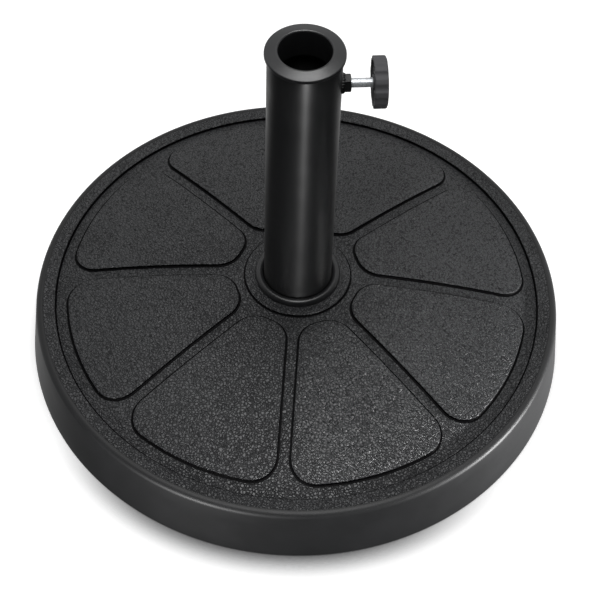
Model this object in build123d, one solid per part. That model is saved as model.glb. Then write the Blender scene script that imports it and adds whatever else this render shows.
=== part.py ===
from build123d import *
import os
from math import cos, radians, sin, sqrt

# Parasol base: a round, concrete-filled base with an upright tube that a hand screw clamps a pole in.
# Millimetres. +Z is up. The origin is on the floor, on the tube's axis.

# ---------------------------------------------------------------- shell
base_radius = 229.5         # outside, at the lower edge
wall_draft = 6.1            # how far the wall leans in by the rim's top
rim_height = 52.0           # top of the rim band above the floor
edge_lift = 0.8             # lower edge above the floor
edge_round = 6.0            # outer edge of the rim
shell_wall = 3.5
rim_band = 21.9             # from the base's radius to the inner edge of the raised rim
rim_step = 2.5              # drop from the rim band to the field
rim_step_round = 0.8
crown_radius = 798.0        # sphere that the crowned field follows

# raised petals on the field
petal_count = 8
petal_height = 2.3
petal_rim_gap = 11.7        # field between the petals and the rim band
petal_hub_gap = 9.8         # field between the petals and the hub ring
petal_gap = 11.4
petal_round = 20.0
petal_edge_round = 0.7
first_gap_angle = -1.9      # degrees from +X

# hub ring round the tube
hub_ring_ledge = 8.5        # ring outside the trim bead
hub_ring_step = 2.0
hub_ring_round = 0.8
shell_hole_clearance = 1.0

# trim bead on the hub ring
bead_width = 7.7            # from the tube's outside
bead_height = 4.6
bead_clearance = 0.3

# ---------------------------------------------------------------- underside
pad_count = 6
pad_radius = 17.0
pad_thickness = 3.0
pad_inset = 39.5            # pads' centres in from the base's radius
cover_thickness = 4.0
cover_clearance = 0.4
cover_screw_count = 8
cover_screw_inset = 16.5    # screws in from the base's radius
cover_screw_length = 16.0
post_radius = 5.5
post_clearance = 0.3
ballast_clearance = 0.3
hole_clearance = 0.1

# screws of the cover and the pads
small_shank_radius = 1.9
small_head_radius = 4.2
small_head_height = 1.6
pad_head_cover = 1.0        # rubber left under a pad screw's head
pad_head_clearance = 0.3
pad_screw_length = 11.0
screw_end_gap = 2.0         # free depth past a screw's end

# ---------------------------------------------------------------- tube and its fixing
total_height = 340.0        # top of the collar
sleeve_radius = 28.5
sleeve_wall = 2.0
flange_width = 31.5
flange_thickness = 5.0
flange_hole_clearance = 0.5
pocket_clearance = 0.6
weld_leg = 5.0
weld_gap = 0.05

anchor_count = 4
anchor_offset = 13.5        # anchors out from the tube's face
m8_radius = 4.0
m8_nut_flats = 13.0
m8_nut_height = 6.5
m8_head_height = 5.3
washer_radius = 8.0
washer_thickness = 1.6
anchor_cover = 7.0          # concrete over an anchor's head
anchor_end_gap = 1.0        # bolt end above the cover

# collar in the mouth of the tube
pole_bore_radius = 20.2
collar_overhang = 2.1       # lip past the tube's outside
collar_lip_edge = 2.9
collar_slope = 2.2          # rise of the face from the lip to the mouth
collar_mouth = 2.0          # rounding of the mouth
collar_lip_round = 1.2
spigot_length = 20.0
spigot_clearance = 0.2

# cup for the pole's end
cup_clearance = 0.25
cup_bore_clearance = 0.2    # wider than the collar's bore
cup_floor = 4.0
cup_depth = 26.0
cup_lip_thickness = 2.0
cup_post_radius = 20.0

# ---------------------------------------------------------------- clamp
clamp_drop = 35.2           # clamp's axis below the collar's top
clamp_angle = 5.0           # degrees from +X
nut_turn = 38.0             # turn of the hexagon about the clamp's axis
nut_seat = 0.1
nut_chamfer = 0.5
nut_weld_reach = 0.7        # bead past the nut's corners, at its foot
nut_weld_lean = 0.9
nut_weld_height = 3.2
thread_clearance = 0.05
sleeve_hole_clearance = 0.4
screw_tip_gap = 2.5         # tip behind the bore, at rest
clamp_gap = 16.3            # free screw between nut and knob, at rest
screw_tip_chamfer = 0.8

knob_radius = 20.0
knob_height = 10.2
knob_rim_wall = 2.2
knob_plate = 2.4
knob_bevel = 1.2
flute_count = 12
flute_radius = 5.0
flute_depth = 1.3
hub_proud = 0.2             # hub's end behind the rim
hub_wall = 2.0
hub_cup_wall = 2.7
web_count = 6
web_thickness = 1.8
web_setback = 1.5
screw_head_step = 2.0
screw_head_height = 3.4
head_clearance = 0.3
end_play = 0.1
cap_thickness = 1.5
cap_lip = 1.1
cap_gap = 1.5               # room between the screw's head and the cap

# ---------------------------------------------------------------- places worked out from the sizes above
wall_top_radius = base_radius - wall_draft
rim_inner_radius = base_radius - rim_band
crown_centre = rim_height - rim_step - sqrt(crown_radius**2 - rim_inner_radius**2)
bead_radius = sleeve_radius + bead_width
hub_ring_radius = bead_radius + hub_ring_ledge
petal_inner_radius = hub_ring_radius + petal_hub_gap
petal_outer_radius = rim_inner_radius - petal_rim_gap

pad_circle = base_radius - pad_inset
cover_screw_circle = base_radius - cover_screw_inset
cover_top = pad_thickness + cover_thickness
anchor_bottom = cover_top + anchor_end_gap
nut_bottom = anchor_bottom + anchor_end_gap
sleeve_foot = nut_bottom + m8_nut_height + washer_thickness
flange_top = sleeve_foot + flange_thickness
flange_radius = sleeve_radius + flange_width
anchor_circle = sleeve_radius + anchor_offset
sleeve_inner = sleeve_radius - sleeve_wall
sleeve_top = total_height - collar_slope - collar_lip_edge
collar_lip_radius = sleeve_radius + collar_overhang

clamp_height = total_height - clamp_drop
nut_corner = m8_nut_flats / sqrt(3)
nut_face = sleeve_radius + nut_seat
screw_tip = pole_bore_radius + screw_tip_gap
hub_end = nut_face + m8_nut_height + clamp_gap
knob_rear = hub_end + hub_proud
knob_front = knob_rear + knob_height
knob_seat = knob_front - cap_thickness - cap_gap - screw_head_height - end_play
hub_radius = m8_radius + hub_wall
screw_head_radius = m8_radius + screw_head_step
head_pocket_radius = screw_head_radius + head_clearance
hub_cup_radius = head_pocket_radius + hub_cup_wall
cap_radius = head_pocket_radius + cap_lip


def crown_z(radius, drop=0.0):
    """Height of the crowned field at a radius; drop goes down from it."""
    return crown_centre + sqrt((crown_radius - drop)**2 - radius**2)


def wall_radius(height):
    """Outside radius of the drafted wall at a height."""
    share = (height - edge_lift) / (rim_height - edge_lift)
    return base_radius + (wall_top_radius - base_radius) * share


hub_top = crown_z(hub_ring_radius) + hub_ring_step
anchor_head = crown_z(anchor_circle, shell_wall) - anchor_cover - m8_head_height
clamp_axis = Pos(0, 0, clamp_height) * Rot(0, 0, clamp_angle) * Rot(0, 90, 0)


# ---------------------------------------------------------------- helpers
def near(sketch, point):
    """The vertex of a sketch that lies nearest to a point."""
    return sketch.vertices().sort_by_distance((point[0], point[1], 0))[0]


def outline(*edges):
    """A face from joined lines and arcs, drawn as (radius, height)."""
    return make_face(Curve() + list(edges))


def turned(profile):
    """Turn a profile about the Z axis."""
    return revolve(Plane.XZ * profile, Axis.Z)


def rod(radius, bottom, top):
    """An upright cylinder between two heights."""
    return Pos(0, 0, bottom) * Cylinder(radius, top - bottom, align=(Align.CENTER, Align.CENTER, Align.MIN))


def tube(outer, inner, bottom, top):
    """An upright hollow cylinder between two heights."""
    return rod(outer, bottom, top) - rod(inner, bottom, top)


def hexagon(flats, bottom, top, turn=0.0):
    """An upright hexagonal prism."""
    face = Rot(0, 0, turn) * RegularPolygon(flats / 2, 6, major_radius=False)
    return Pos(0, 0, bottom) * extrude(face, top - bottom)


def around(shape, count, radius=0.0, start=0.0):
    """Copies of a shape, evenly spaced round the Z axis."""
    turns = [start + 360 * index / count for index in range(count)]
    return [Pos(radius * cos(radians(a)), radius * sin(radians(a)), 0) * Rot(0, 0, a) * shape for a in turns]


def crown_profile(radius, drop, floor):
    """Profile of everything below the crowned field, out to a radius."""
    edge = crown_z(radius, drop)
    top = crown_z(0, drop)
    return outline(
        Polyline((0, floor), (radius, floor), (radius, edge)),
        ThreePointArc((radius, edge), (radius / 2, crown_z(radius / 2, drop)), (0, top)),
        Line((0, top), (0, floor)),
    )


# ---------------------------------------------------------------- shell
def petal():
    """Outline of one petal, lying along +X."""
    half = 180 / petal_count
    apex = petal_gap / 2 / sin(radians(half))
    reach = 2 * petal_outer_radius
    wedge = Polygon(
        (apex, 0),
        (apex + reach * cos(radians(half)), -reach * sin(radians(half))),
        (apex + reach * cos(radians(half)), reach * sin(radians(half))),
        align=None,
    )
    shape = (Circle(petal_outer_radius) - Circle(petal_inner_radius)) & wedge
    return fillet(shape.vertices(), petal_round)


def petals():
    """All raised petals, with their tops on a sphere above the field."""
    below = crown_z(petal_outer_radius) - shell_wall / 2
    cap = turned(crown_profile(rim_inner_radius, -petal_height, below))
    start = first_gap_angle + 180 / petal_count
    blank = extrude(petal(), crown_z(0) + petal_height)
    shaped = blank & cap
    upper = [e for e in shaped.edges() if e.center().Z > crown_z(petal_outer_radius) + petal_height / 2]
    return around(fillet(upper, petal_edge_round), petal_count, start=start)


def shell_outside():
    """Solid body inside the shell's outer faces, without petals."""
    edge = crown_z(rim_inner_radius)
    profile = outline(
        Polyline((0, edge_lift), (base_radius, edge_lift), (wall_top_radius, rim_height),
                 (rim_inner_radius, rim_height), (rim_inner_radius, edge)),
        ThreePointArc((rim_inner_radius, edge), (rim_inner_radius / 2, crown_z(rim_inner_radius / 2)),
                      (0, crown_z(0))),
        Line((0, crown_z(0)), (0, edge_lift)),
    )
    profile = fillet(near(profile, (wall_top_radius, rim_height)), edge_round)
    profile = fillet(near(profile, (rim_inner_radius, rim_height)), rim_step_round)
    return turned(profile)


def cavity(gap, floor):
    """The hollow under the shell, drawn in by a gap."""
    inset = shell_wall + gap
    roof = rim_height - inset
    step = rim_inner_radius + gap
    edge = crown_z(step, inset)
    return turned(outline(
        Polyline((0, floor), (wall_radius(floor) - inset, floor), (wall_radius(roof) - inset, roof),
                 (step, roof), (step, edge)),
        ThreePointArc((step, edge), (step / 2, crown_z(step / 2, inset)), (0, crown_z(0, inset))),
        Line((0, crown_z(0, inset)), (0, floor)),
    ))


def hub_ring():
    """Raised ring round the tube."""
    ring = rod(hub_ring_radius, crown_z(hub_ring_radius) - shell_wall / 2, hub_top)
    return fillet(ring.edges().sort_by(Axis.Z)[-1], hub_ring_round)


def screw_posts(radius, bottom, top):
    """Posts, or the holes that clear them, where the cover's screws go."""
    start = first_gap_angle + 180 / cover_screw_count
    return around(rod(radius, bottom, top), cover_screw_count, cover_screw_circle, start)


def base_shell():
    """Moulded shell: wall, rim band, crowned field, petals, hub ring and posts for the cover's screws."""
    body = shell_outside() + petals() + hub_ring()
    body -= cavity(0, edge_lift)
    body += screw_posts(post_radius, cover_top, rim_height - shell_wall / 2)
    pilot_top = pad_thickness + cover_screw_length + screw_end_gap
    body -= screw_posts(small_shank_radius + hole_clearance, cover_top, pilot_top)
    body -= rod(sleeve_radius + shell_hole_clearance, edge_lift, hub_top)
    return body


def trim_ring():
    """Half-round bead that covers the gap between the shell and the tube."""
    inner = sleeve_radius + bead_clearance
    middle = (inner + bead_radius) / 2
    return turned(outline(
        Line((inner, hub_top), (bead_radius, hub_top)),
        ThreePointArc((bead_radius, hub_top), (middle, hub_top + bead_height), (inner, hub_top)),
    ))


# ---------------------------------------------------------------- underside
def at_pads(shape):
    """Copies of a shape at each pad."""
    return around(shape, pad_count, pad_circle)


def ballast_core():
    """Concrete weight, with hollows for the tube, its flange, the anchors and the screws."""
    body = cavity(ballast_clearance, cover_top)
    body -= screw_posts(post_radius + post_clearance, cover_top, rim_height)
    body -= rod(sleeve_radius + pocket_clearance, cover_top, hub_top)
    body -= rod(flange_radius + pocket_clearance, cover_top, flange_top)
    weld_room = weld_leg + pocket_clearance
    body -= rod(sleeve_radius + weld_room, flange_top, flange_top + weld_room)
    head = nut_corner + hole_clearance
    room = rod(m8_radius + hole_clearance, flange_top, anchor_head)
    room += rod(head, anchor_head, anchor_head + m8_head_height + hole_clearance)
    body -= around(room, anchor_count, anchor_circle)
    pocket_top = pad_thickness - pad_head_cover + pad_screw_length + screw_end_gap
    body -= at_pads(rod(small_shank_radius + hole_clearance, cover_top, pocket_top))
    return body


def bottom_cover():
    """Plate that closes the shell from below."""
    body = rod(wall_radius(cover_top) - shell_wall - cover_clearance, pad_thickness, cover_top)
    body -= screw_posts(small_shank_radius + hole_clearance, pad_thickness, cover_top)
    body -= at_pads(rod(small_shank_radius + hole_clearance, pad_thickness, cover_top))
    return body


def small_screw(seat, length):
    """Pan-head screw that points up, with the underside of its head at the seat's height."""
    head = rod(small_head_radius, seat - small_head_height, seat)
    head = fillet(head.edges().sort_by(Axis.Z)[0], small_head_height / 2)
    return head + rod(small_shank_radius, seat, seat + length)


def cover_screws():
    """Screws through the cover into the shell's posts."""
    start = first_gap_angle + 180 / cover_screw_count
    screw = small_screw(pad_thickness, cover_screw_length)
    return around(screw, cover_screw_count, cover_screw_circle, start)


def foot_pads():
    """Rubber pads, each with a sunk hole for its screw."""
    seat = pad_thickness - pad_head_cover
    pad = rod(pad_radius, 0, pad_thickness)
    pad = fillet(pad.edges().sort_by(Axis.Z)[0], pad_head_cover / 2)
    pad -= rod(small_head_radius + pad_head_clearance, 0, seat)
    pad -= rod(small_shank_radius + hole_clearance, seat, pad_thickness)
    return at_pads(pad)


def pad_screws():
    """Screws through the pads and the cover into the concrete."""
    return at_pads(small_screw(pad_thickness - pad_head_cover, pad_screw_length))


# ---------------------------------------------------------------- tube and its fixing
def pole_sleeve():
    """Upright tube, with the hole for the clamp screw."""
    body = tube(sleeve_radius, sleeve_inner, sleeve_foot, sleeve_top)
    return body - clamp_axis * rod(m8_radius + sleeve_hole_clearance, sleeve_inner / 2, sleeve_radius * 2)


def sleeve_flange():
    """Disc welded round the foot of the tube."""
    body = tube(flange_radius, sleeve_radius + weld_gap, sleeve_foot, flange_top)
    hole = rod(m8_radius + flange_hole_clearance, sleeve_foot, flange_top)
    return body - around(hole, anchor_count, anchor_circle)


def flange_weld():
    """Fillet weld between the tube and the flange."""
    inner = sleeve_radius + weld_gap
    corner = (inner, flange_top)
    foot = (inner + weld_leg, flange_top)
    return turned(outline(Polyline(corner, foot, (inner, flange_top + weld_leg), corner)))


def anchor_bolts():
    """Hex bolts cast into the concrete, head up."""
    bolt = rod(m8_radius, anchor_bottom, anchor_head)
    bolt += hexagon(m8_nut_flats, anchor_head, anchor_head + m8_head_height)
    return around(bolt, anchor_count, anchor_circle)


def anchor_washers():
    """Washers under the flange."""
    ring = tube(washer_radius, m8_radius + hole_clearance, sleeve_foot - washer_thickness, sleeve_foot)
    return around(ring, anchor_count, anchor_circle)


def anchor_nuts():
    """Nuts that hold the flange up against the concrete."""
    nut = hexagon(m8_nut_flats, nut_bottom, nut_bottom + m8_nut_height)
    nut -= rod(m8_radius + hole_clearance, nut_bottom, nut_bottom + m8_nut_height)
    return around(nut, anchor_count, anchor_circle)


def pole_foot_cup():
    """Cup in the foot of the tube, standing on the cover, that centres the pole's end."""
    inside = sleeve_foot + cup_floor
    body = rod(cup_post_radius, cover_top, sleeve_foot)
    body += rod(sleeve_radius, sleeve_foot - cup_lip_thickness, sleeve_foot)
    body += rod(sleeve_inner - cup_clearance, sleeve_foot, inside + cup_depth)
    return body - rod(pole_bore_radius + cup_bore_clearance, inside, inside + cup_depth)


def top_collar():
    """Bush in the mouth of the tube, with a lip that stands over the tube's edge."""
    spigot = sleeve_inner - spigot_clearance
    foot = sleeve_top - spigot_length
    edge = sleeve_top + collar_lip_edge
    face = pole_bore_radius + collar_mouth
    profile = outline(Polyline(
        (pole_bore_radius, foot), (spigot, foot), (spigot, sleeve_top), (collar_lip_radius, sleeve_top),
        (collar_lip_radius, edge), (face, total_height), (pole_bore_radius, total_height),
        (pole_bore_radius, foot),
    ))
    profile = fillet(near(profile, (collar_lip_radius, edge)), collar_lip_round)
    profile = fillet(near(profile, (collar_lip_radius, sleeve_top)), collar_lip_round / 2)
    profile = fillet(near(profile, (pole_bore_radius, total_height)), collar_mouth * 0.95)
    return turned(profile)


# ---------------------------------------------------------------- clamp
# Each piece is drawn along +Z and then turned to the clamp's axis.
def nut_blank():
    """The clamp nut before it is drilled."""
    top = nut_face + m8_nut_height
    dome = turned(outline(Polyline(
        (0, nut_face), (nut_corner, nut_face), (nut_corner, top - nut_chamfer),
        (nut_corner - 2 * nut_chamfer, top), (0, top),
        (0, nut_face),
    )))
    return hexagon(m8_nut_flats, nut_face, top, nut_turn) & dome


def clamp_nut():
    """Hex nut on the side of the tube."""
    return clamp_axis * (nut_blank() - rod(m8_radius, nut_face, nut_face + m8_nut_height))


def nut_weld():
    """Weld bead round the foot of the nut."""
    foot = sleeve_inner
    top = sleeve_radius + nut_weld_height
    wide = nut_corner + nut_weld_reach
    bead = turned(outline(Polyline((0, foot), (wide, foot), (wide, sleeve_radius),
                                   (wide - nut_weld_lean, top), (0, top), (0, foot))))
    bead -= nut_blank()
    bead -= rod(m8_radius + sleeve_hole_clearance, foot, top)
    return clamp_axis * bead - rod(sleeve_radius, sleeve_foot, sleeve_top)


def clamp_screw():
    """Screw through the nut, with a round head inside the knob."""
    seat = knob_seat + end_play
    shank = rod(m8_radius - thread_clearance, screw_tip, seat)
    shank = chamfer(shank.edges().sort_by(Axis.Z)[0], screw_tip_chamfer)
    return clamp_axis * (shank + rod(screw_head_radius, seat, seat + screw_head_height))


def knob_rim():
    """Fluted disc, hollow towards the tube."""
    blank = Circle(knob_radius) - [
        spot * Circle(flute_radius)
        for spot in PolarLocations(knob_radius + flute_radius - flute_depth, flute_count)
    ]
    outside = knob_radius + knob_bevel
    profile = outline(Polyline((0, knob_rear), (outside, knob_rear), (outside, knob_front - 2 * knob_bevel),
                               (knob_radius - knob_bevel, knob_front), (0, knob_front), (0, knob_rear)))
    disc = Pos(0, 0, knob_rear) * extrude(blank, knob_front - knob_rear)
    hollow = rod(knob_radius - flute_depth - knob_rim_wall, knob_rear, knob_front - knob_plate)
    return (disc & turned(profile)) - hollow


def clamp_knob():
    """Hand knob: fluted rim, hub, webs and the pocket for the screw's head."""
    body = knob_rim() + rod(hub_radius, hub_end, knob_front)
    body += rod(hub_cup_radius, knob_seat - knob_plate, knob_front)
    reach = knob_radius - flute_depth - knob_rim_wall / 2
    web_length = reach - hub_radius
    web_height = knob_front - knob_plate - knob_rear - web_setback
    web = Pos((reach + hub_radius) / 2, 0, knob_rear + web_setback + web_height / 2)
    body += around(web * Box(web_length, web_thickness, web_height), web_count, start=180 / web_count)
    body -= rod(m8_radius, hub_end, knob_seat)
    body -= rod(head_pocket_radius, knob_seat, knob_front)
    body -= rod(cap_radius, knob_front - cap_thickness, knob_front)
    return clamp_axis * body


def knob_cap():
    """Cap that closes the pocket in the knob's outer face."""
    return clamp_axis * rod(cap_radius - hole_clearance, knob_front - cap_thickness, knob_front)


# ---------------------------------------------------------------- files
NODES = [
    base_shell, ballast_core, bottom_cover, cover_screws, foot_pads, pad_screws,
    pole_sleeve, sleeve_flange, flange_weld, anchor_bolts, anchor_washers, anchor_nuts, pole_foot_cup,
    trim_ring, top_collar, clamp_nut, nut_weld, clamp_screw, clamp_knob, knob_cap,
]

os.makedirs("parts", exist_ok=True)
for make in NODES:
    made = make()
    solids = made if isinstance(made, list) else made.solids()
    shape = solids[0] if len(solids) == 1 else Compound(children=list(solids))
    export_step(shape, f"parts/{make.__name__}.step")
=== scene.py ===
"""Looks of a parasol base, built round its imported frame. Metres, +Z up, origin on the floor under the tube."""
import logging
import math
from dataclasses import dataclass, field
from enum import Enum
from typing import Iterable, Sequence

import bmesh
import bpy
import numpy as np
from mathutils import Matrix, Vector


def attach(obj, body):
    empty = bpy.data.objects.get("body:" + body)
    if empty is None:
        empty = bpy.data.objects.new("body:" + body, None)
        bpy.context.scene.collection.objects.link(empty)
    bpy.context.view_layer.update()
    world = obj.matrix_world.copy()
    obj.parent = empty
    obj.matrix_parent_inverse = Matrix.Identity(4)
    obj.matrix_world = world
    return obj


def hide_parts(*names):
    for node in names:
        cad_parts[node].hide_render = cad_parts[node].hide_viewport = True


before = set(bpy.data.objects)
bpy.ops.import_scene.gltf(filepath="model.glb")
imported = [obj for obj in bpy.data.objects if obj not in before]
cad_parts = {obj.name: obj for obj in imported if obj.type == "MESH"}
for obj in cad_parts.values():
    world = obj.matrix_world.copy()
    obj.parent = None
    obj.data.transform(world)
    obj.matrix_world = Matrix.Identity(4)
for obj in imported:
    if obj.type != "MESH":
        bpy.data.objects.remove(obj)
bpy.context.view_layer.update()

LOG = logging.getLogger("parasol_base")
MM = 0.001
Point = tuple[float, float]
Range = tuple[float, float]
Place = tuple[float, float, float]
Color = tuple[float, float, float]
Socket, Node, NodeTree = bpy.types.NodeSocket, bpy.types.Node, bpy.types.NodeTree
Material, Piece = bpy.types.Material, bpy.types.Object


class Body(Enum):
    """Moving bodies of the frame."""

    BASE = "base"
    SCREW = "clamp_screw"
    KNOB = "clamp_knob"


class Slot(Enum):
    """Material slots of the record."""

    SHELL = "shell_plastic"
    CONCRETE = "concrete"
    COVER = "cover_plastic"
    RUBBER = "rubber"
    STEEL = "painted_steel"
    TRIM = "trim_plastic"
    KNOB = "knob_plastic"
    ZINC = "zinc_steel"


class Zone(Enum):
    """Surface of a shell face: leather-grained, smooth, or the plain wall of a step with a strip at its foot,
    painted near black as shade.
    """

    GRAINED = 0
    SMOOTH = 1
    # step walls and the strips at their feet, which take a near-black material as painted shade
    STEP = 2


ZONE_ATTRIBUTE = "smooth_zone"  # face attribute that holds the zone's value


# ---------------------------------------------------------------- finishes
NOISE_BAND = (0.3, 0.7)      # most of a soft noise's values
WIDE_BAND = (0.25, 0.75)     # most of a rougher noise's values
PLASTIC_IOR = 1.5
COLOR_MIX_INPUTS = (6, 7)    # the two colours of a Mix node that is set to colour
COLOR_MIX_RESULT = 2


class MaterialTree:
    """Short hand for building one material's nodes."""

    def __init__(self, name: str) -> None:
        """Start a material with an empty Principled shader.

        Args:
            name: Name of the material.
        """
        self.material = bpy.data.materials.new(name)
        self.material.use_nodes = True
        self.tree = self.material.node_tree
        self.shader = self.tree.nodes["Principled BSDF"]
        self.place = self.add("ShaderNodeTexCoord").outputs["Object"]

    def add(self, kind: str, **settings: object) -> Node:
        """Add a node.

        Args:
            kind: Blender's name of the node type.
            settings: Attributes to set on the node.

        Returns:
            The new node.
        """
        node = self.tree.nodes.new(kind)
        for key, value in settings.items():
            setattr(node, key, value)
        return node

    def join(self, start: Socket, end: Socket) -> None:
        """Link one socket to another."""
        self.tree.links.new(start, end)

    def feed(self, name: str, start: Socket) -> None:
        """Link a socket to one of the shader's own."""
        self.join(start, self.shader.inputs[name])

    def noise(self, scale: float, detail: float = 2.0, source: Socket | None = None,
              output: str = "Fac") -> Socket:
        """Add a noise texture on the object's coordinates.

        Args:
            scale: Cells in a metre.
            detail: Octaves of finer noise.
            source: Coordinates to use in place of the object's own.
            output: Name of the noise's output.

        Returns:
            Socket of the noise.
        """
        node = self.add("ShaderNodeTexNoise")
        node.inputs["Scale"].default_value = scale
        node.inputs["Detail"].default_value = detail
        self.join(source or self.place, node.inputs["Vector"])
        return node.outputs[output]

    def cells(self, scale: float, source: Socket, feature: str = "F1") -> Socket:
        """Add a cell texture.

        Args:
            scale: Cells in a metre.
            source: Coordinates to use.
            feature: What the distance is measured to.

        Returns:
            Socket of the distance.
        """
        node = self.add("ShaderNodeTexVoronoi", feature=feature)
        node.inputs["Scale"].default_value = scale
        self.join(source, node.inputs["Vector"])
        return node.outputs["Distance"]

    def ramp(self, source: Socket, low: float, high: float, start: float = 0.0, end: float = 1.0) -> Socket:
        """Map a value's range smoothly to another range.

        Args:
            source: Socket to read.
            low: Lowest value read.
            high: Highest value read.
            start: Result at the lowest value.
            end: Result at the highest value.

        Returns:
            Socket of the result.
        """
        node = self.add("ShaderNodeMapRange", interpolation_type="SMOOTHSTEP")
        for name, value in (("From Min", low), ("From Max", high), ("To Min", start), ("To Max", end)):
            node.inputs[name].default_value = value
        self.join(source, node.inputs["Value"])
        return node.outputs["Result"]

    def mix(self, share: Socket, first: Color, second: Color) -> Socket:
        """Mix two colours by a share.

        Args:
            share: Socket from 0, all first, to 1, all second.
            first: Colour at 0.
            second: Colour at 1.

        Returns:
            Socket of the mixed colour.
        """
        node = self.add("ShaderNodeMix", data_type="RGBA")
        for index, color in zip(COLOR_MIX_INPUTS, (first, second)):
            node.inputs[index].default_value = (*color, 1.0)
        self.join(share, node.inputs[0])
        return node.outputs[COLOR_MIX_RESULT]

    def math(self, kind: str, first: object, second: object) -> Socket:
        """Combine two values.

        Args:
            kind: Operation of the math node.
            first: Socket or number.
            second: Socket or number.

        Returns:
            Socket of the result.
        """
        node = self.add("ShaderNodeMath", operation=kind)
        for index, value in enumerate((first, second)):
            if isinstance(value, (int, float)):
                node.inputs[index].default_value = value
            else:
                self.join(value, node.inputs[index])
        return node.outputs[0]

    def vector(self, kind: str, first: Socket, second: Socket | Place | float | None = None) -> Socket:
        """Combine two vectors.

        Args:
            kind: Operation of the vector math node.
            first: First vector.
            second: Second vector, the factor of a scaling, or nothing.

        Returns:
            Socket of the result.
        """
        node = self.add("ShaderNodeVectorMath", operation=kind)
        self.join(first, node.inputs[0])
        if isinstance(second, Socket):
            self.join(second, node.inputs[1])
        elif second is not None:
            node.inputs["Scale" if kind == "SCALE" else 1].default_value = second
        return node.outputs["Value" if kind == "DOT_PRODUCT" else 0]

    def bump(self, height: Socket, depth: float) -> None:
        """Raise the surface by a height, from 0 to 1.

        Args:
            height: Socket of the height.
            depth: Depth in metres of a height of 1.
        """
        node = self.add("ShaderNodeBump")
        node.inputs["Distance"].default_value = depth
        node.inputs["Strength"].default_value = 1.0
        self.join(height, node.inputs["Height"])
        self.feed("Normal", node.outputs["Normal"])

    def set(self, **values: object) -> None:
        """Set constants on the shader's own sockets, named with underscores for spaces."""
        for name, value in values.items():
            self.shader.inputs[name.replace("_", " ")].default_value = value


@dataclass(frozen=True)
class Finish:
    """Base of every finish: a name and how to make its material."""

    name: str

    def make(self) -> Material:
        """Return this finish's material, building it the first time."""
        return bpy.data.materials.get(self.name) or self.build()

    def build(self) -> Material:
        """Build the material."""
        raise NotImplementedError


@dataclass(frozen=True)
class GrainedPlastic(Finish):
    """Moulded plastic with a pebbled leather grain, its creases painted darker in colour and gloss as shade."""

    # painted shade: the darker colour of the grain's creases
    crease: Color = (0.0045, 0.0047, 0.0052)
    crest: Color = (0.0130, 0.0140, 0.0158)
    cell: float = 2.5 * MM
    depth: float = 0.42 * MM
    warp: float = 1.2 * MM
    warp_cells: float = 0.55
    pebble_edge: float = 0.22
    pebble_foot: float = 0.30
    worm_cells: float = 0.62
    worm_width: float = 0.040
    worm_foot: float = 0.10
    wear_scale: float = 17.0
    wear: Range = (0.80, 1.10)
    rough_crest: float = 0.44
    rough_crease: float = 0.60
    # painted shade: less gloss in the grain's creases
    crease_gloss_painted_shade: float = 0.20
    gloss_crest: float = 0.66

    def build(self) -> Material:
        """Build winding creases over small pebbles, painted darker in colour and gloss as shade, with slow
        changes of depth and tone over the field.

        Returns:
            The material.
        """
        tree = MaterialTree(self.name)
        drift = tree.noise(self.warp_cells / self.cell, 3.0, output="Color")
        centred = tree.vector("SUBTRACT", drift, (0.5, 0.5, 0.5))
        moved = tree.vector("ADD", tree.place, tree.vector("SCALE", centred, 2 * self.warp))
        cells = tree.cells(1 / self.cell, moved, "DISTANCE_TO_EDGE")
        pebble = tree.ramp(cells, 0.0, self.pebble_edge, self.pebble_foot)
        worm = tree.noise(self.worm_cells / self.cell, 1.0, moved)
        off = tree.math("ABSOLUTE", tree.math("SUBTRACT", worm, 0.5), 0.0)
        height = tree.math("MULTIPLY", pebble, tree.ramp(off, 0.0, self.worm_width, self.worm_foot))
        tone = tree.ramp(tree.noise(self.wear_scale, 3.0), *NOISE_BAND, *self.wear)
        # colour and gloss follow the creases' painted shade, times a random tone over the field
        share = tree.math("MULTIPLY", height, tone)
        tree.feed("Base Color", tree.mix(share, self.crease, self.crest))
        tree.feed("Roughness", tree.ramp(height, 0.0, 1.0, self.rough_crease, self.rough_crest))
        tree.feed("Specular IOR Level", tree.ramp(share, 0.05, 0.85, self.crease_gloss_painted_shade, self.gloss_crest))
        tree.set(IOR=PLASTIC_IOR)
        tree.bump(height, self.depth)
        return tree.material


@dataclass(frozen=True)
class SatinPlastic(Finish):
    """Moulded plastic with a faint spark-eroded texture."""

    low: Color = (0.010, 0.0103, 0.011)
    high: Color = (0.014, 0.0144, 0.0153)
    tone_scale: float = 23.0
    mark_scale: float = 90.0
    roughness: float = 0.42
    spread: float = 0.05
    gloss: float = 0.5
    texture: float = 0.35 * MM
    depth: float = 0.012 * MM

    def build(self) -> Material:
        """Build slow tone changes, handling marks in the gloss and a fine texture.

        Returns:
            The material.
        """
        tree = MaterialTree(self.name)
        tone = tree.ramp(tree.noise(self.tone_scale, 3.0), *NOISE_BAND)
        tree.feed("Base Color", tree.mix(tone, self.low, self.high))
        low, high = self.roughness - self.spread, self.roughness + self.spread
        tree.feed("Roughness", tree.ramp(tree.noise(self.mark_scale, 4.0), *WIDE_BAND, low, high))
        tree.set(IOR=PLASTIC_IOR, Specular_IOR_Level=self.gloss)
        tree.bump(tree.noise(1 / self.texture), self.depth)
        return tree.material


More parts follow.
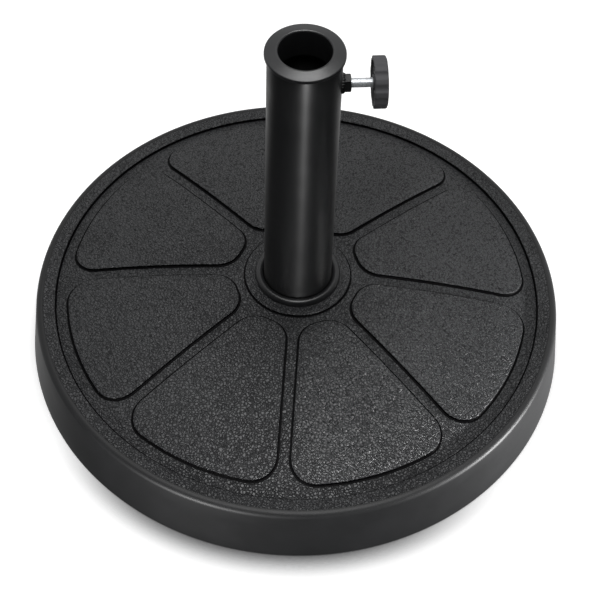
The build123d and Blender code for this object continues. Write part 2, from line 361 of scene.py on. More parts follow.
@dataclass(frozen=True)
class PaintedSteel(Finish):
    """Powder-coated steel: a satin coat with slight orange peel."""

    low: Color = (0.0035, 0.0036, 0.0038)
    high: Color = (0.0050, 0.0052, 0.0055)
    tone_scale: float = 31.0
    mark_scale: float = 60.0
    roughness: float = 0.38
    smoother: float = 0.03
    rougher: float = 0.04
    peel: float = 1.6 * MM
    depth: float = 0.010 * MM
    drawn: float = 0.0
    quarter_turn: float = 0.25

    def build(self) -> Material:
        """Build the coat's peel and gloss changes, with highlights stretched along Z on drawn tube.

        Returns:
            The material.
        """
        tree = MaterialTree(self.name)
        tree.feed("Base Color", tree.mix(tree.noise(self.tone_scale), self.low, self.high))
        low, high = self.roughness - self.smoother, self.roughness + self.rougher
        tree.feed("Roughness", tree.ramp(tree.noise(self.mark_scale, 3.0), *WIDE_BAND, low, high))
        tree.set(IOR=PLASTIC_IOR)
        tree.bump(tree.noise(1 / self.peel, 3.0), self.depth)
        if self.drawn:
            tree.feed("Tangent", tree.add("ShaderNodeTangent", direction_type="RADIAL", axis="Z").outputs[0])
            tree.set(Anisotropic=self.drawn, Anisotropic_Rotation=self.quarter_turn)
        return tree.material


@dataclass(frozen=True)
class ZincSteel(Finish):
    """Bright zinc-plated steel with dull spots and fine scratches."""

    bright: Color = (0.66, 0.68, 0.70)
    dull: Color = (0.42, 0.44, 0.46)
    spot_scale: float = 700.0
    scratch_scale: float = 3000.0
    roughness: float = 0.34
    smoother: float = 0.06
    rougher: float = 0.16
    metal: float = 0.65
    depth: float = 0.01 * MM

    def build(self) -> Material:
        """Build the plating's blotches and fine scratches.

        Returns:
            The material.
        """
        tree = MaterialTree(self.name)
        spots = tree.noise(self.spot_scale, 4.0)
        tree.feed("Base Color", tree.mix(tree.ramp(spots, 0.35, 0.7), self.bright, self.dull))
        low, high = self.roughness - self.smoother, self.roughness + self.rougher
        tree.feed("Roughness", tree.ramp(spots, *NOISE_BAND, low, high))
        tree.set(Metallic=self.metal)
        tree.bump(tree.noise(self.scratch_scale), self.depth)
        return tree.material


@dataclass(frozen=True)
class Rubber(Finish):
    """Matt black rubber with dust in its pores."""

    black: Color = (0.012, 0.012, 0.012)
    dusty: Color = (0.040, 0.039, 0.037)
    dust_scale: float = 180.0
    pore_scale: float = 2500.0
    clean_rough: float = 0.72
    dusty_rough: float = 0.92
    depth: float = 0.05 * MM

    def build(self) -> Material:
        """Build the pores and the dust.

        Returns:
            The material.
        """
        tree = MaterialTree(self.name)
        dust = tree.noise(self.dust_scale, 5.0)
        tree.feed("Base Color", tree.mix(tree.ramp(dust, 0.45, 0.75), self.black, self.dusty))
        tree.feed("Roughness", tree.ramp(dust, 0.3, 0.8, self.clean_rough, self.dusty_rough))
        tree.bump(tree.noise(self.pore_scale, 3.0), self.depth)
        return tree.material


@dataclass(frozen=True)
class Concrete(Finish):
    """Cast concrete with sand and stones."""

    light: Color = (0.40, 0.39, 0.36)
    dark: Color = (0.20, 0.195, 0.18)
    sand_scale: float = 900.0
    stone_scale: float = 90.0
    rough: Range = (0.8, 0.95)
    depth: float = 0.4 * MM

    def build(self) -> Material:
        """Build the sand and the stones.

        Returns:
            The material.
        """
        tree = MaterialTree(self.name)
        sand = tree.noise(self.sand_scale, 6.0)
        stone = tree.ramp(tree.cells(self.stone_scale, tree.place), 0.15, 0.6)
        tree.feed("Base Color", tree.mix(tree.math("MULTIPLY", stone, sand), self.light, self.dark))
        tree.feed("Roughness", tree.ramp(sand, *NOISE_BAND, *self.rough))
        tree.bump(sand, self.depth)
        return tree.material


FINISHES: dict[Slot, Finish] = {
    Slot.SHELL: GrainedPlastic("shell_grained_plastic"),
    Slot.CONCRETE: Concrete("cast_concrete"),
    Slot.COVER: SatinPlastic("cover_plastic", roughness=0.55, texture=0.8 * MM, depth=0.04 * MM),
    Slot.RUBBER: Rubber("foot_rubber"),
    Slot.STEEL: PaintedSteel("powder_coated_steel"),
    Slot.TRIM: SatinPlastic("trim_gloss_plastic", roughness=0.34, depth=0.006 * MM),
    Slot.KNOB: SatinPlastic("knob_plastic", (0.004, 0.004, 0.0044), (0.006, 0.006, 0.0065), roughness=0.28),
    Slot.ZINC: ZincSteel("zinc_plated_steel"),
}
TUBE_STEEL = PaintedSteel("tube_powder_coat", roughness=0.42, drawn=0.75)
SMOOTH_SHELL = SatinPlastic("shell_smooth_plastic", (0.006, 0.0062, 0.0066), (0.008, 0.0082, 0.0088),
                            roughness=0.50, spread=0.01, gloss=0.38, depth=0.004 * MM)
# Painted shade: near-black, almost glossless plastic for the step walls and the strips at their feet.
STEP_PAINTED_SHADE = SatinPlastic("shell_step_painted_shade", (0.0006, 0.0006, 0.0008), (0.0010, 0.0010, 0.0012),
                          roughness=0.50, gloss=0.05)


# ---------------------------------------------------------------- meshes
class Shape:
    """Points and faces of one mesh while it is being built."""

    def __init__(self) -> None:
        """Start empty."""
        self.points: list[Place] = []
        self.faces: list[tuple[int, ...]] = []
        self.zones: list[int] = []

    def ring(self, points: Iterable[Sequence[float]]) -> list[int]:
        """Add points.

        Args:
            points: Places of the points.

        Returns:
            Their indices.
        """
        start = len(self.points)
        self.points.extend(tuple(float(v) for v in p) for p in points)
        return list(range(start, len(self.points)))

    def face(self, corners: Sequence[int], zone: Zone = Zone.SMOOTH) -> None:
        """Add a face, leaving out repeated corners.

        Args:
            corners: Indices of the corners.
            zone: Surface of the face.
        """
        kept = [c for i, c in enumerate(corners) if c != corners[i - 1]]
        if len(kept) > 2:
            self.faces.append(tuple(kept))
            self.zones.append(zone.value)

    def strip(self, first: Sequence[int], second: Sequence[int], closed: bool = True,
              zone: Zone = Zone.SMOOTH) -> None:
        """Join two rows of points with quads.

        Args:
            first: One row.
            second: The other, as long.
            closed: Whether the rows run all the way round.
            zone: Surface of the faces.
        """
        count = len(first)
        for i in range(count if closed else count - 1):
            j = (i + 1) % count
            self.face((first[i], first[j], second[j], second[i]), zone)

    def turn(self, profile: Sequence[Point], steps: int, closed: bool = True) -> None:
        """Turn a profile about Z.

        Args:
            profile: Points as (radius, height).
            steps: Columns round the axis.
            closed: Whether the profile's last point joins its first.
        """
        angles = [2 * math.pi * i / steps for i in range(steps)]
        rows = []
        for radius, height in profile:
            if radius < 1e-7:
                rows.append(self.ring([(0, 0, height)]) * steps)
            else:
                rows.append(self.ring((radius * math.cos(a), radius * math.sin(a), height) for a in angles))
        for low, high in zip(rows, rows[1:] + rows[:1] if closed else rows[1:]):
            self.strip(low, high)

    def object(self, name: str, place: Matrix | None = None, crease: float = 32.0) -> Piece:
        """Make the object, with merged doubles, outward faces and smooth shading between sharp edges.

        Args:
            name: Name of the piece.
            place: Transform to bake into the mesh.
            crease: Angle in degrees past which an edge is sharp.

        Returns:
            The new object.
        """
        mesh = bpy.data.meshes.new(name)
        mesh.from_pydata(self.points, [], self.faces)
        zones = mesh.attributes.new(ZONE_ATTRIBUTE, "INT", "FACE")
        zones.data.foreach_set("value", self.zones)
        if place is not None:
            mesh.transform(place)
        clean(mesh, crease)
        return link(name, mesh)


def from_work(name: str, work: bmesh.types.BMesh) -> bpy.types.Mesh:
    """Turn a work mesh into a named mesh and free it.

    Args:
        name: Name of the new mesh.
        work: Mesh to turn.

    Returns:
        The new mesh.
    """
    mesh = bpy.data.meshes.new(name)
    work.to_mesh(mesh)
    work.free()
    return mesh


def clean(mesh: bpy.types.Mesh, crease: float, merge: float = 1e-6) -> None:
    """Merge doubles, turn faces outward and set smooth shading.

    Args:
        mesh: Mesh to change.
        crease: Angle in degrees past which an edge is sharp.
        merge: Distance under which points are one.
    """
    work = bmesh.new()
    work.from_mesh(mesh)
    bmesh.ops.remove_doubles(work, verts=work.verts, dist=merge)
    bmesh.ops.dissolve_degenerate(work, edges=work.edges, dist=merge / 2)
    bmesh.ops.recalc_face_normals(work, faces=work.faces)
    work.to_mesh(mesh)
    work.free()
    mesh.shade_smooth()
    mesh.set_sharp_from_angle(angle=math.radians(crease))


def link(name: str, mesh: bpy.types.Mesh) -> Piece:
    """Put a mesh in the scene as an object.

    Args:
        name: Name of the object.
        mesh: Its mesh.

    Returns:
        The new object.
    """
    made = bpy.data.objects.new(name, mesh)
    bpy.context.scene.collection.objects.link(made)
    return made


def rounded(corners: Sequence[Place], steps: int = 6) -> list[Point]:
    """Round the corners of an open line.

    Args:
        corners: Points as (x, y, radius); a radius of 0 leaves the corner sharp.
        steps: Runs along each arc.

    Returns:
        Points of the rounded line.
    """
    line: list[Point] = []
    for i, (x, y, radius) in enumerate(corners):
        if radius <= 0 or i in (0, len(corners) - 1):
            line.append((x, y))
            continue
        here = np.array((x, y))
        back = np.array(corners[i - 1][:2]) - here
        ahead = np.array(corners[i + 1][:2]) - here
        back /= np.linalg.norm(back)
        ahead /= np.linalg.norm(ahead)
        half = math.acos(max(-1.0, min(1.0, float(back @ ahead)))) / 2
        middle = (back + ahead) / np.linalg.norm(back + ahead)
        centre = here + middle * radius / math.sin(half)
        start = here + back * radius / math.tan(half) - centre
        sweep = math.pi - 2 * half
        sign = 1.0 if back[0] * ahead[1] - back[1] * ahead[0] < 0 else -1.0
        for k in range(steps + 1):
            a = sign * sweep * k / steps
            turned_x = start[0] * math.cos(a) - start[1] * math.sin(a)
            turned_y = start[0] * math.sin(a) + start[1] * math.cos(a)
            line.append((float(centre[0] + turned_x), float(centre[1] + turned_y)))
    return line


def scaled(profile: Iterable[Point]) -> list[Point]:
    """Turn millimetres into metres."""
    return [(x * MM, y * MM) for x, y in profile]


def lathe(name: str, line: Sequence[Point], steps: int, place: Matrix | None = None, crease: float = 32.0,
          closed: bool = True) -> Piece:
    """Turn a line, given in millimetres, about Z and make the object.

    Args:
        name: Name of the piece.
        line: Points as (radius, height).
        steps: Columns round the axis.
        place: Transform to bake into the mesh.
        crease: Angle in degrees past which an edge is sharp.
        closed: Whether the line's last point joins its first.

    Returns:
        The new object.
    """
    shape = Shape()
    shape.turn(scaled(line), steps, closed)
    return shape.object(name, place, crease)


# ---------------------------------------------------------------- geometry nodes
class GeometryTree:
    """Short hand for building one geometry node tree."""

    def __init__(self, name: str, inputs: dict[str, tuple[str, object]]) -> None:
        """Start a tree.

        Args:
            name: Name of the tree.
            inputs: Socket type and default by input name.
        """
        self.group = bpy.data.node_groups.new(name, "GeometryNodeTree")
        face = self.group.interface
        face.new_socket("Geometry", in_out="INPUT", socket_type="NodeSocketGeometry")
        face.new_socket("Geometry", in_out="OUTPUT", socket_type="NodeSocketGeometry")
        for label, (kind, default) in inputs.items():
            socket = face.new_socket(label, in_out="INPUT", socket_type=kind)
            if default is not None:
                socket.default_value = default
        self.source = self.group.nodes.new("NodeGroupInput").outputs
        self.result = self.group.nodes.new("NodeGroupOutput").inputs["Geometry"]

    def add(self, kind: str, links: dict[object, object] | None = None, **settings: object) -> Node:
        """Add a node.

        Args:
            kind: Blender's name of the node type.
            links: Socket or value by input name or index.
            settings: Attributes to set on the node.

        Returns:
            The new node.
        """
        node = self.group.nodes.new(kind)
        for key, value in settings.items():
            setattr(node, key, value)
        for key, value in (links or {}).items():
            if isinstance(value, Socket):
                self.group.links.new(value, node.inputs[key])
            else:
                node.inputs[key].default_value = value
        return node

    def out(self, kind: str, links: dict[object, object] | None = None, **settings: object) -> Socket:
        """Add a node as `add` does and return its first output."""
        return self.add(kind, links, **settings).outputs[0]

    def math(self, kind: str, first: object, second: object = 0.0) -> Socket:
        """Combine two values and return the result's socket."""
        return self.out("ShaderNodeMath", {0: first, 1: second}, operation=kind)

    def vector(self, **parts: object) -> Socket:
        """Join the parts X, Y and Z, those that aren't 0, to a vector and return its socket."""
        return self.out("ShaderNodeCombineXYZ", parts)

    def turned(self, count: Socket) -> Socket:
        """Share a full turn out over the points of a ring and return the angle's socket."""
        share = self.math("DIVIDE", self.out("GeometryNodeInputIndex"), count)
        return self.math("MULTIPLY", share, 2 * math.pi)

    def close(self, geometry: Socket) -> NodeTree:
        """End the tree: realize the instances and set the material.

        Args:
            geometry: Socket of the finished geometry.

        Returns:
            The tree.
        """
        real = self.out("GeometryNodeRealizeInstances", {"Geometry": geometry})
        dressed = self.out("GeometryNodeSetMaterial", {"Geometry": real, "Material": self.source["Material"]})
        self.group.links.new(dressed, self.result)
        return self.group


def grow(piece: Piece, tree: NodeTree, values: dict[str, object]) -> Piece:
    """Run a tree on a piece and keep the result as its plain mesh.

    Args:
        piece: Object whose mesh goes in.
        tree: Geometry node tree.
        values: Value by input name.

    Returns:
        The piece.
    """
    modifier = piece.modifiers.new("grow", "NODES")
    modifier.node_group = tree
    for item in tree.interface.items_tree:
        if item.in_out == "INPUT" and item.name in values:
            modifier[item.identifier] = values[item.name]
    bpy.context.view_layer.update()
    evaluated = piece.evaluated_get(bpy.context.evaluated_depsgraph_get())
    mesh = bpy.data.meshes.new_from_object(evaluated)
    piece.modifiers.remove(modifier)
    piece.data = mesh
    if len(mesh.materials) > 1 and mesh.materials[0] is None:
        mesh.materials.pop(index=0)
    return piece


def ring_tree() -> NodeTree:
    """Tree that repeats the incoming mesh round Z, merges shared edges and gives each zone its material.

    Returns:
        The tree.
    """
    tree = GeometryTree("repeat_round_axis", {
        "Count": ("NodeSocketInt", 8),
        "Radius": ("NodeSocketFloat", 0.0),
        "Start": ("NodeSocketFloat", 0.0),
        "Merge": ("NodeSocketFloat", 1e-6),
        "Material": ("NodeSocketMaterial", None),
        "Smooth Material": ("NodeSocketMaterial", None),
        "Step Shade Material": ("NodeSocketMaterial", None),
    })
    angle = tree.math("ADD", tree.turned(tree.source["Count"]), tree.source["Start"])
    across = tree.math("MULTIPLY", tree.math("COSINE", angle), tree.source["Radius"])
    along = tree.math("MULTIPLY", tree.math("SINE", angle), tree.source["Radius"])
    points = tree.out("GeometryNodePoints", {
        "Count": tree.source["Count"], "Position": tree.vector(X=across, Y=along),
    })
    copies = tree.out("GeometryNodeInstanceOnPoints", {
        "Points": points, "Instance": tree.source["Geometry"], "Rotation": tree.vector(Z=angle),
    })
    real = tree.out("GeometryNodeRealizeInstances", {"Geometry": copies})
    merged = tree.out("GeometryNodeMergeByDistance", {"Geometry": real, "Distance": tree.source["Merge"]})
    dressed = tree.out("GeometryNodeSetMaterial", {"Geometry": merged, "Material": tree.source["Material"]})
    zone = tree.add("GeometryNodeInputNamedAttribute", {"Name": ZONE_ATTRIBUTE}, data_type="INT")
    # the step zone takes the near-black painted step shade
    for value, label in ((Zone.SMOOTH.value, "Smooth Material"), (Zone.STEP.value, "Step Shade Material")):
        picked = tree.out("FunctionNodeCompare", {2: zone.outputs["Attribute"], 3: value}, data_type="INT",
                          operation="EQUAL")
        dressed = tree.out("GeometryNodeSetMaterial", {
            "Geometry": dressed, "Selection": picked, "Material": tree.source[label],
        })
    tree.group.links.new(dressed, tree.result)
    return tree.group


def thread_tree() -> NodeTree:
    """Tree that winds a thread round Z and joins it to the incoming core.

    Returns:
        The tree.
    """
    tree = GeometryTree("wind_thread", {
        "Crest Radius": ("NodeSocketFloat", 4 * MM),
        "Pitch": ("NodeSocketFloat", 1.25 * MM),
        "Ridge": ("NodeSocketFloat", 0.64 * MM),
        "Bottom": ("NodeSocketFloat", 0.0),
        "Turns": ("NodeSocketFloat", 10.0),
        "Material": ("NodeSocketMaterial", None),
    })
    radius = tree.math("SUBTRACT", tree.source["Crest Radius"], tree.source["Ridge"])
    spiral = tree.out("GeometryNodeCurveSpiral", {
        "Resolution": 32, "Rotations": tree.source["Turns"], "Start Radius": radius, "End Radius": radius,
        "Height": tree.math("MULTIPLY", tree.source["Pitch"], tree.source["Turns"]),
    })
    upright = tree.out("GeometryNodeSetCurveNormal", {"Curve": spiral}, mode="Z_UP")
    lifted = tree.out("GeometryNodeTransform", {
        "Geometry": upright, "Translation": tree.vector(Z=tree.source["Bottom"]),
    })
    ridge = tree.out("GeometryNodeCurvePrimitiveCircle", {"Resolution": 3, "Radius": tree.source["Ridge"]})
    wound = tree.out("GeometryNodeCurveToMesh", {"Curve": lifted, "Profile Curve": ridge, "Fill Caps": True})
    both = tree.add("GeometryNodeJoinGeometry")
    tree.group.links.new(wound, both.inputs[0])
    tree.group.links.new(tree.source["Geometry"], both.inputs[0])
    return tree.close(both.outputs[0])


def weld_tree() -> NodeTree:
    """Tree that lays overlapping drops of weld round X, at the foot of a nut on an upright tube.

    Returns:
        The tree.
    """
    tree = GeometryTree("lay_weld", {
        "Tube Radius": ("NodeSocketFloat", 28.5 * MM),
        "Ring Radius": ("NodeSocketFloat", 7.2 * MM),
        "Unevenness": ("NodeSocketFloat", 0.12),
        "Drops": ("NodeSocketInt", 26),
        "Seed": ("NodeSocketInt", 4),
        "Material": ("NodeSocketMaterial", None),
    })
    angle = tree.turned(tree.source["Drops"])
    jitter = tree.add("FunctionNodeRandomValue", {2: 0.85, 3: 1.15, "Seed": tree.source["Seed"]},
                      data_type="FLOAT").outputs[1]
    level = tree.math("SUBTRACT", 1.0, tree.source["Unevenness"])
    share = tree.math("ADD", tree.math("MULTIPLY", jitter, tree.source["Unevenness"]), level)
    reach = tree.math("MULTIPLY", tree.source["Ring Radius"], share)
    across = tree.math("MULTIPLY", tree.math("COSINE", angle), reach)
    up = tree.math("MULTIPLY", tree.math("SINE", angle), reach)
    out = tree.math("SQRT", tree.math("SUBTRACT", tree.math("POWER", tree.source["Tube Radius"], 2.0),
                                      tree.math("POWER", across, 2.0)))
    points = tree.out("GeometryNodePoints", {
        "Count": tree.source["Drops"], "Position": tree.vector(X=out, Y=across, Z=up),
    })
    return tree.close(tree.out("GeometryNodeInstanceOnPoints", {
        "Points": points, "Instance": tree.source["Geometry"], "Scale": jitter,
        "Rotation": tree.vector(X=angle),
    }))


# ---------------------------------------------------------------- pieces
@dataclass
class Assembly:
    """Base of the sub-assemblies: names its pieces, gives them finishes and hangs them on a body."""

    body: Body

    def place(self, piece: Piece, slot: Slot, *nodes: str, finish: Finish | None = None) -> Piece:
        """Dress a piece, let it stand for its nodes and hang it on this assembly's body.

        Args:
            piece: Finished object.
            slot: Material slot whose finish it takes if it has none.
            nodes: Frame nodes that it stands for.
            finish: Finish to take in place of the slot's.

        Returns:
            The piece.
        """
        if finish or not any(piece.data.materials):
            piece.data.materials.clear()
            piece.data.materials.append((finish or FINISHES[slot]).make())
        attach(piece, self.body.value)
        if nodes:
            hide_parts(*nodes)
        LOG.info("%s: %d faces", piece.name, len(piece.data.polygons))
        return piece

    def keep(self, node: str, slot: Slot) -> None:
        """Give a frame node that stays its finish.

        Args:
            node: Name of the frame node.
            slot: Material slot whose finish it takes.
        """
        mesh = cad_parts[node].data
        mesh.materials.clear()
        mesh.materials.append(FINISHES[slot].make())
        LOG.info("%s: kept", node)


@dataclass
class Shell(Assembly):
    """Moulded shell: crowned top with raised petals, rim band, wall and hub ring. Sizes in millimetres."""

    rings: NodeTree
    base_radius: float = 229.5
    wall_draft: float = 6.1
    rim_height: float = 52.0
    edge_lift: float = 0.8
    edge_round: float = 6.0
    wall: float = 3.5
    rim_radius: float = 207.6
    rim_step: float = 2.5
    crown_radius: float = 798.0
    petals: int = 8
    petal_height: float = 2.3
    petal_inner: float = 54.5
    petal_outer: float = 195.9
    petal_gap: float = 11.4
    petal_round: float = 20.0
    first_gap: float = -1.9
    hub_radius: float = 44.7
    hub_step: float = 2.0
    hole_radius: float = 29.5
    post_circle: float = 213.0
    post_radius: float = 5.5
    pilot_radius: float = 2.0
    post_foot: float = 7.0
    pilot_top: float = 21.0
    foot: float = 1.3
    lip_start: float = 217.4
    moat: float = 1.9
    field_rows: tuple[float, ...] = (0.66, 0.33)
    petal_foot: tuple[Point, ...] = ((0.55, 0.0), (0.28, 0.06), (0.1, 0.2), (0.02, 0.45))
    petal_brow: tuple[Point, ...] = ((0.0, 0.75), (-0.05, 0.45), (-0.2, 0.2), (-0.42, 0.06), (-0.75, 0.0),
                                     (-1.5, 0.0), (-4.0, 0.0), (-9.0, 0.0))
    petal_rows: tuple[float, ...] = (0.8, 0.6, 0.4, 0.2, 0.07)
    # strips from the moat up each petal's wall, painted near black as shade
    step_shade_rows: range = range(3, 9)
    roof_rows: tuple[float, ...] = (0.75, 0.45, 0.15)

    def crown(self, radius: float, drop: float = 0.0) -> float:
        """Height of the crowned field at a radius, less a drop."""
        centre = self.rim_height - self.rim_step - math.sqrt(self.crown_radius**2 - self.rim_radius**2)
        return centre + math.sqrt((self.crown_radius - drop)**2 - radius**2)

    def outside(self, height: float) -> float:
        """Radius of the drafted wall at a height."""
        lift = self.edge_lift
        return self.base_radius - self.wall_draft * (height - lift) / (self.rim_height - lift)

    def outline(self) -> tuple[np.ndarray, np.ndarray, np.ndarray]:
        """Trace one petal that lies along +X, and the edge of its sector seen along its normals.

        Returns:
            Points of the petal's outline, their outward normals, and the matching points on the sector's edge.
        """
        half = math.pi / self.petals
        along = np.array((math.cos(half), math.sin(half)))
        inward = np.array((math.sin(half), -math.cos(half)))
        offset = self.petal_gap / 2 + self.petal_round
        outer_reach = self.petal_outer - self.petal_round
        inner_reach = self.petal_inner + self.petal_round
        s_out = math.sqrt(outer_reach**2 - offset**2)
        s_in = math.sqrt(inner_reach**2 - offset**2)
        c_out = along * s_out + inward * offset
        c_in = along * s_in + inward * offset
        rim, hub = self.rim_radius - self.foot, self.hub_radius + self.foot
        a_out, a_in = math.atan2(c_out[1], c_out[0]), math.atan2(c_in[1], c_in[0])
        side = math.pi / 2 + half
        rows: list[tuple[np.ndarray, np.ndarray, np.ndarray]] = []

        def unit(angle: float) -> np.ndarray:
            """Unit vector at an angle."""
            return np.array((math.cos(angle), math.sin(angle)))

        def meet(origin: np.ndarray, way: np.ndarray, radius: float) -> np.ndarray:
            """Find where a ray meets a circle about the axis.

            Args:
                origin: Start of the ray.
                way: Its direction.
                radius: Radius of the circle.

            Returns:
                The point where the ray leaves the circle, or enters it if it starts outside.
            """
            b = float(origin @ way)
            root = math.sqrt(max(b * b - float(origin @ origin) + radius**2, 0.0))
            return origin + way * (root - b if radius > np.linalg.norm(origin) else -b - root)

        def corner(centre: np.ndarray, radius: float, first: float, last: float, outer: bool) -> None:
            """Add the points of a rounded corner.

            Args:
                centre: Centre of the corner's arc.
                radius: Radius of the ring that the sector ends at.
                first: Angle of the arc's first point.
                last: Angle of its last.
                outer: Whether the arc starts towards the ring, as at the rim, or ends towards it.
            """
            far = along * radius - centre
            middle = math.atan2(far[1], far[0])
            for a in [*np.linspace(first, middle, 11)[:-1], *np.linspace(middle, last, 11)]:
                way = unit(a)
                if abs(a - middle) < 1e-9:
                    edge = along * radius
                elif (a < middle) == outer:
                    edge = meet(centre, way, radius)
                else:
                    edge = centre + way * offset / float(way @ -inward)
                rows.append((centre + way * self.petal_round, way, edge))

        for a in np.linspace(0, a_out, 13)[:-1]:
            rows.append((unit(a) * self.petal_outer, unit(a), unit(a) * rim))
        corner(c_out, rim, a_out, side, True)
        for s in np.linspace(s_out, s_in, 24)[1:-1]:
            rows.append((along * s + inward * self.petal_gap / 2, -inward, along * s))
        corner(c_in, hub, side, math.pi + a_in, False)
        rows.append((unit(0.0) * self.petal_inner, -unit(0.0), unit(0.0) * hub))
        flip = np.array((1.0, -1.0))
        mirrored = [(p * flip, n * flip, e * flip) for p, n, e in reversed(rows[1:-1])]
        every = rows + mirrored
        return tuple(np.array([row[i] for row in every]) for i in range(3))

    def sector(self) -> Shape:
        """Build one sector of the shell, from the hub's hole to the wall, inside and out.

        Returns:
            The sector, open at its two radial sides.
        """
        shape = Shape()
        line, normal, edge = self.outline()
        centre = np.array(((self.petal_inner + self.petal_outer) / 2 + 8.0, 0.0))

        def level(points: np.ndarray, height: float, drop: float = 0.0) -> list[int]:
            """Add a row of points at a height above the field or the roof of the hollow."""
            return shape.ring((x * MM, y * MM, (self.crown(math.hypot(x, y), drop) + height) * MM)
                              for x, y in points)

        moat = line + normal * self.moat
        rows = [level(edge, 0.0)] + [level(moat + (edge - moat) * share, 0.0) for share in self.field_rows]
        top = self.petal_height
        brow = [(out, top - down) for out, down in self.petal_brow]
        for out, height in ((self.moat, 0.0), *self.petal_foot, *brow):
            rows.append(level(line + normal * out, height))
        inner = line + normal * self.petal_brow[-1][0]
        for share in self.petal_rows:
            rows.append(level(centre + (inner - centre) * share, top))
        # the step rows take the painted step shade
        for i, (low, high) in enumerate(zip(rows, rows[1:])):
            shape.strip(low, high, zone=Zone.STEP if i in self.step_shade_rows else Zone.GRAINED)
        shape.face(rows[-1], Zone.GRAINED)

        under = [level(edge, 0.0, self.wall)]
        under += [level(centre + (edge - centre) * share, 0.0, self.wall) for share in self.roof_rows]
        for low, high in zip(under, under[1:]):
            shape.strip(low, high)
        shape.face(under[-1])

        reach = np.linalg.norm(edge, axis=1)
        for radius, profile in ((self.rim_radius - self.foot, self.rim_profile()),
                                (self.hub_radius + self.foot, self.hub_profile())):
            columns = [i for i in range(len(edge)) if abs(reach[i] - radius) < 1e-6]
            columns.sort(key=lambda i: math.atan2(edge[i][1], edge[i][0]))
            ways = [edge[i] / reach[i] for i in columns]
            last, zone = [rows[0][i] for i in columns], Zone.GRAINED
            for r, z, zone in profile:
                now = shape.ring((w[0] * r * MM, w[1] * r * MM, z * MM) for w in ways)
                shape.strip(last, now, closed=False, zone=zone)
                last = now
            shape.strip(last, [under[0][i] for i in columns], closed=False)
        self.post(shape)
        return shape

    def rim_profile(self) -> list[tuple[float, float, Zone]]:
        """Section from the rim step over the band and the wall to the roof of the hollow.

        Returns:
            Points as (radius, height, surface of the strip that ends there).
        """
        field_z, rim_z, roof_z = self.crown(self.rim_radius), self.rim_height, self.rim_height - self.wall
        groove, base, foot_z = self.lip_start, self.base_radius, self.edge_lift
        step = rounded([(self.rim_radius - self.foot, field_z, 0), (self.rim_radius, field_z, 0.3),
                        (self.rim_radius, rim_z, 0.8), (groove, rim_z, 0)], 5)[1:]
        # the rim step's foot and wall take the painted step shade
        bands = [(r, z, Zone.STEP if z < rim_z - 0.5 else Zone.GRAINED) for r, z in step]
        bands += [(groove + 0.25, rim_z - 0.22, Zone.GRAINED), (groove + 0.6, rim_z - 0.25, Zone.SMOOTH),
                  (groove + 0.85, rim_z - 0.04, Zone.SMOOTH)]
        wall = rounded([(groove + 0.9, rim_z, 0), (base - self.wall_draft, rim_z, 5.2), (base, foot_z, 0.6),
                        (base - self.wall, foot_z, 0.4), (self.outside(roof_z) - self.wall, roof_z, 1.0),
                        (self.rim_radius, roof_z, 0)], 7)
        bands += [(r, z, Zone.SMOOTH) for r, z in self.split(wall)]
        return bands

    def split(self, line: list[Point], longest: float = 12.0) -> list[Point]:
        """Divide the long runs of a line.

        Args:
            line: Points of the line.
            longest: Longest run that may stay.

        Returns:
            Points of the divided line.
        """
        out = [line[0]]
        for a, b in zip(line, line[1:]):
            parts = max(1, math.ceil(math.dist(a, b) / longest))
            out += [(a[0] + (b[0] - a[0]) * k / parts, a[1] + (b[1] - a[1]) * k / parts)
                    for k in range(1, parts + 1)]
        return out

    def hub_profile(self) -> list[tuple[float, float, Zone]]:
        """Section from the foot of the hub ring over its top and down the hole to the roof of the hollow.

        Returns:
            Points as (radius, height, surface of the strip that ends there).
        """
        field_z = self.crown(self.hub_radius)
        top = field_z + self.hub_step
        ring = rounded([(self.hub_radius + self.foot, field_z, 0), (self.hub_radius, field_z, 0.3),
                        (self.hub_radius, top, 0.8), (self.hole_radius, top, 0.3),
                        (self.hole_radius, self.crown(self.hole_radius, self.wall), 0)], 5)[1:]
        # the hub ring's foot and wall take the painted step shade
        return [(r, z, Zone.STEP if z < top - 0.5 else Zone.GRAINED) for r, z in ring]

    def post(self, shape: Shape) -> None:
        """Add the post for a cover screw under the rim band of this sector.

        Args:
            shape: Sector to add it to.
        """
        roof = self.rim_height - self.wall / 2
        profile = [(self.pilot_radius, self.post_foot), (self.post_radius, self.post_foot),
                   (self.post_radius, roof), (0.0, roof), (0.0, self.pilot_top),
                   (self.pilot_radius, self.pilot_top)]
        part = Shape()
        part.turn(scaled(profile), 24)
        start = len(shape.points)
        shape.points += [(x + self.post_circle * MM, y, z) for x, y, z in part.points]
        for corners in part.faces:
            shape.face([c + start for c in corners])

    def build(self) -> None:
        """Build the shell from its sector."""
        piece = self.sector().object("base_shell_visual")
        # the step walls and their feet take a near-black material as painted shade
        grow(piece, self.rings, {
            "Count": self.petals, "Start": math.radians(self.first_gap) + math.pi / self.petals, "Merge": 2e-6,
            "Material": FINISHES[Slot.SHELL].make(), "Smooth Material": SMOOTH_SHELL.make(),
            "Step Shade Material": STEP_PAINTED_SHADE.make(),
        })
        clean(piece.data, 28.0)
        self.place(piece, Slot.SHELL, "base_shell")


def cut(piece: Piece, tools: Sequence[Piece], kind: str = "DIFFERENCE") -> Piece:
    """Cut shapes out of a piece, or join them to it, and remove them.

    Args:
        piece: Object to change.
        tools: Closed objects to cut with.
        kind: Blender's name of the operation.

    Returns:
        The piece.
    """
    for tool in tools:
        modifier = piece.modifiers.new("cut", "BOOLEAN")
        modifier.operation = kind
        modifier.solver = "EXACT"
        modifier.object = tool
    bpy.context.view_layer.update()
    mesh = bpy.data.meshes.new_from_object(piece.evaluated_get(bpy.context.evaluated_depsgraph_get()))
    piece.modifiers.clear()
    piece.data = mesh
    for tool in tools:
        bpy.data.objects.remove(tool)
    return piece


